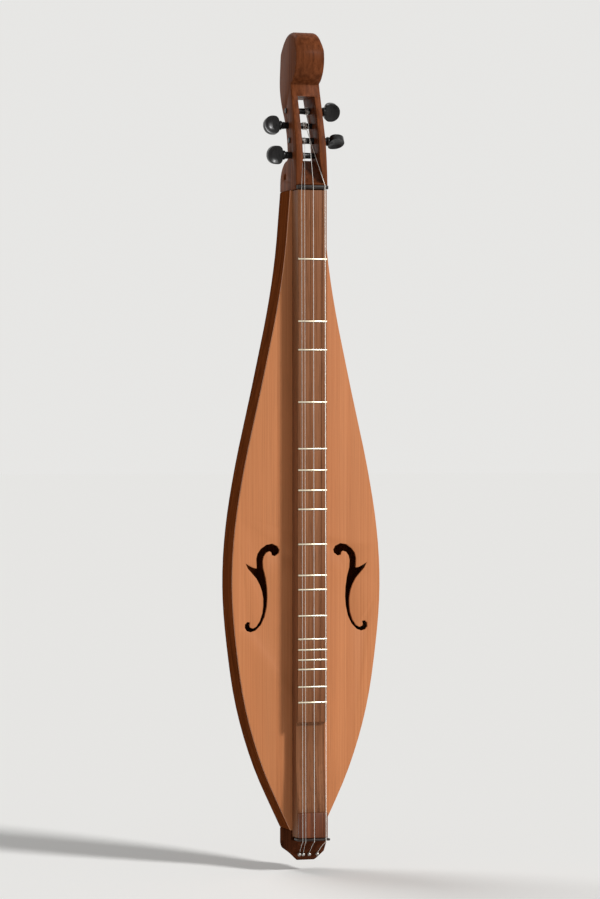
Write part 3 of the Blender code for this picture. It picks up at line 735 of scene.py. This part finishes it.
@dataclass
class Pegs:
    """The four tuning pegs with the string wound on each."""

    rest_turns: dict[str, float] = field(default_factory=lambda: {
        "peg_top_right": 20.0, "peg_upper_left": 8.0, "peg_lower_right": 62.0, "peg_lower_left": -6.0})
    wire_radii: dict[str, float] = field(default_factory=lambda: {
        "winding_melody_1": 0.0002, "winding_melody_2": 0.0002, "winding_middle": 0.00025,
        "winding_bass": 0.00035})
    turns: int = 4
    points_per_turn: int = 40

    def winding(self, node: str) -> None:
        """Wind a string on its peg, as one fine tube in the CAD winding's place.

        Args:
            node: the winding's name.
        """
        low, high = (Vector(corner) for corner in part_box(node))
        centre = (low + high) / 2
        radius = self.wire_radii[node]
        around = (high.z - low.z) / 2 - radius
        length = (high.x - low.x) - 2 * radius
        curve = bpy.data.curves.new(node + "_finished", "CURVE")
        curve.dimensions = "3D"
        curve.bevel_depth = radius
        curve.bevel_resolution = 3
        curve.use_fill_caps = True
        spline = curve.splines.new("POLY")
        count = self.turns * self.points_per_turn
        spline.points.add(count)
        for step, spot in enumerate(spline.points):
            angle = math.tau * step / self.points_per_turn
            spot.co = (centre.x + (step / count - 0.5) * length, centre.y - around * math.cos(angle),
                       centre.z + around * math.sin(angle), 1.0)
        piece = bpy.data.objects.new(node + "_finished", curve)
        bpy.context.scene.collection.objects.link(piece)
        make_active(piece)
        bpy.ops.object.convert(target="MESH")
        piece = bpy.context.object
        stand_in(piece, node, 60.0)
        dress(piece, string_steel(node))

    def build(self) -> list[str]:
        """Make every peg and winding.

        Returns:
            The names of the nodes that were made.
        """
        made = []
        for joint in frame["joints"]:
            for node in frame["record"]["behaviour"]["bodies"][joint["child"]]:
                if node.startswith("peg_"):
                    Peg(node, joint, self.rest_turns[node]).build()
                else:
                    self.winding(node)
                made.append(node)
        return made


@dataclass
class Strings:
    """The four strings and the pins that hold their lower ends."""

    pin_rounding: float = 0.0002
    loop_radius: float = 0.0016
    loop_wire: float = 0.00028
    loop_depth: float = 0.0026
    loop_stretch: tuple[float, float, float] = (0.94, 1.0, 1.06)

    def loop(self, pin: str, name: str) -> None:
        """Lay the string's loop end round its pin, pulled a little oval.

        Args:
            pin: the pin's node.
            name: the loop's name.
        """
        low, high = (Vector(corner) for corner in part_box(pin))
        deselect_all()
        bpy.ops.mesh.primitive_torus_add(
            major_segments=32, minor_segments=10, major_radius=self.loop_radius,
            minor_radius=self.loop_wire, rotation=(math.radians(90), 0.0, 0.0),
            location=((low.x + high.x) / 2, low.y + self.loop_depth, (low.z + high.z) / 2))
        loop = bpy.context.object
        loop.name = name
        bpy.ops.object.mode_set(mode="EDIT")
        bpy.ops.mesh.select_all(action="SELECT")
        bpy.ops.transform.resize(value=self.loop_stretch, center_override=loop.location)
        bpy.ops.object.mode_set(mode="OBJECT")
        settle(loop, 60.0)
        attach(loop, "root")
        dress(loop, PIN_STEEL.build())

    def build(self) -> list[str]:
        """Dress the strings and pins, and add the loop end round each pin.

        Returns:
            The names of the nodes that were dressed and of the loops.
        """
        made = [node for node in frame["nodes"] if node.startswith("string_")]
        for node in made:
            paint(frame["nodes"][node], string_steel(node))
        for index in range(1, 5):
            pin, name = f"tail_pin_{index}", f"string_loop_{index}"
            dress(softened(pin, self.pin_rounding, segments=2), PIN_STEEL.build())
            self.loop(pin, name)
            made += [pin, name]
        return made


@dataclass
class Studio:
    """Floor, backdrop, lamps and the photograph's camera.

    nut_pixel is where the nut's middle falls in the photograph, and board_face and nut_height are
    its place on the instrument. floor_share makes the floor's colour meet the backdrop's under the lamps.
    """

    yaw_degrees: float = -18.0
    pixels_per_metre: float = 900.0
    focal_pixels: float = 3440.0
    image_size: tuple[int, int] = (600, 899)
    nut_pixel: tuple[float, float] = (312.5, 189.3)
    sensor: float = 36.0
    nut_height: float = -0.1150
    board_face: float = -0.0470
    floor_gap: float = 0.012
    floor_size: float = 120.0
    pale: Colour = (0.80, 0.795, 0.78)
    floor_share: float = 1.15
    ambient: float = 0.21

    def camera(self) -> None:
        """Place the camera so that the nut falls on its pixel at the photograph's scale."""
        yaw = math.radians(self.yaw_degrees)
        ahead = Vector((-math.sin(yaw), math.cos(yaw), 0.0))
        right = Vector((math.cos(yaw), math.sin(yaw), 0.0))
        distance = self.focal_pixels / self.pixels_per_metre
        off_right = (self.nut_pixel[0] - self.image_size[0] / 2) / self.pixels_per_metre
        off_down = (self.image_size[1] / 2 - self.nut_pixel[1]) / self.pixels_per_metre
        target = Vector((0.0, self.board_face, self.nut_height - off_down)) - right * off_right
        data = bpy.data.cameras.new("camera")
        data.lens = self.focal_pixels * self.sensor / self.image_size[1]
        data.sensor_width = self.sensor
        camera = bpy.data.objects.new("camera", data)
        camera.location = target - ahead * distance
        camera.rotation_euler = ahead.to_track_quat("-Z", "Y").to_euler()
        bpy.context.scene.collection.objects.link(camera)
        bpy.context.scene.camera = camera

    def sun(self, name: str, azimuth: float, elevation: float, strength: float, spread: float) -> None:
        """A broad, even lamp.

        Args:
            name: the lamp's name.
            azimuth: degrees to the right of the front it shines from.
            elevation: degrees above the horizon it shines from.
            strength: its light in watts per square metre.
            spread: how wide it looks in degrees, which softens its shadows.
        """
        across, up = math.radians(azimuth), math.radians(elevation)
        towards = Vector((math.sin(across) * math.cos(up), -math.cos(across) * math.cos(up), math.sin(up)))
        data = bpy.data.lights.new(name, "SUN")
        data.energy = strength
        data.angle = math.radians(spread)
        lamp = bpy.data.objects.new(name, data)
        lamp.rotation_euler = (-towards).to_track_quat("-Z", "Y").to_euler()
        lamp.location = towards * 3.0
        bpy.context.scene.collection.objects.link(lamp)

    def floor(self) -> None:
        """A wide pale floor just under the instrument."""
        low, _high = CAD_BOX
        deselect_all()
        bpy.ops.mesh.primitive_plane_add(size=self.floor_size,
                                         location=(0.0, 0.0, low[2] - self.floor_gap))
        floor = bpy.context.object
        floor.name = "floor"
        material = bpy.data.materials.new("pale_floor")
        material.use_nodes = True
        shader = material.node_tree.nodes["Principled BSDF"]
        shader.inputs["Base Color"].default_value = tuple(v * self.floor_share for v in self.pale) + (1.0,)
        shader.inputs["Roughness"].default_value = 0.9
        shader.inputs["Specular IOR Level"].default_value = 0.0
        floor.data.materials.append(material)

    def world(self) -> None:
        """A pale backdrop that gives the object a plain, even light."""
        world = bpy.data.worlds.new("surround")
        bpy.context.scene.world = world
        world.use_nodes = True
        nodes, links = world.node_tree.nodes, world.node_tree.links
        nodes["Background"].inputs["Color"].default_value = (*self.pale, 1.0)
        nodes["Background"].inputs["Strength"].default_value = self.ambient
        seen = nodes.new("ShaderNodeBackground")
        seen.inputs["Color"].default_value = (*self.pale, 1.0)
        seen.inputs["Strength"].default_value = 1.0
        path = nodes.new("ShaderNodeLightPath")
        share = path.outputs["Is Camera Ray"]
        for ray in ("Is Glossy Ray", "Is Transmission Ray"):
            either = nodes.new("ShaderNodeMath")
            either.operation = "MAXIMUM"
            links.new(share, either.inputs[0])
            links.new(path.outputs[ray], either.inputs[1])
            share = either.outputs[0]
        mixed = nodes.new("ShaderNodeMixShader")
        links.new(share, mixed.inputs["Fac"])
        links.new(nodes["Background"].outputs[0], mixed.inputs[1])
        links.new(seen.outputs[0], mixed.inputs[2])
        links.new(mixed.outputs[0], nodes["World Output"].inputs["Surface"])

    def build(self) -> None:
        """Set the whole studio up."""
        bpy.context.scene.view_settings.view_transform = "Standard"
        self.camera()
        self.floor()
        self.world()
        self.sun("key", 34.0, 30.0, 2.8, 11.0)
        self.sun("back", 205.0, 55.0, 0.95, 30.0)


def main() -> None:
    """Build every sub-assembly in order."""
    logging.basicConfig(level=logging.INFO, format="%(name)s: %(message)s")
    Studio().build()
    for assembly in (SoundBox(), Fretboard(), Peghead(), Pegs(), Strings()):
        for piece in assembly.build():
            LOG.info("%s: %s", type(assembly).__name__, piece)


if __name__ == "__main__":
    main()
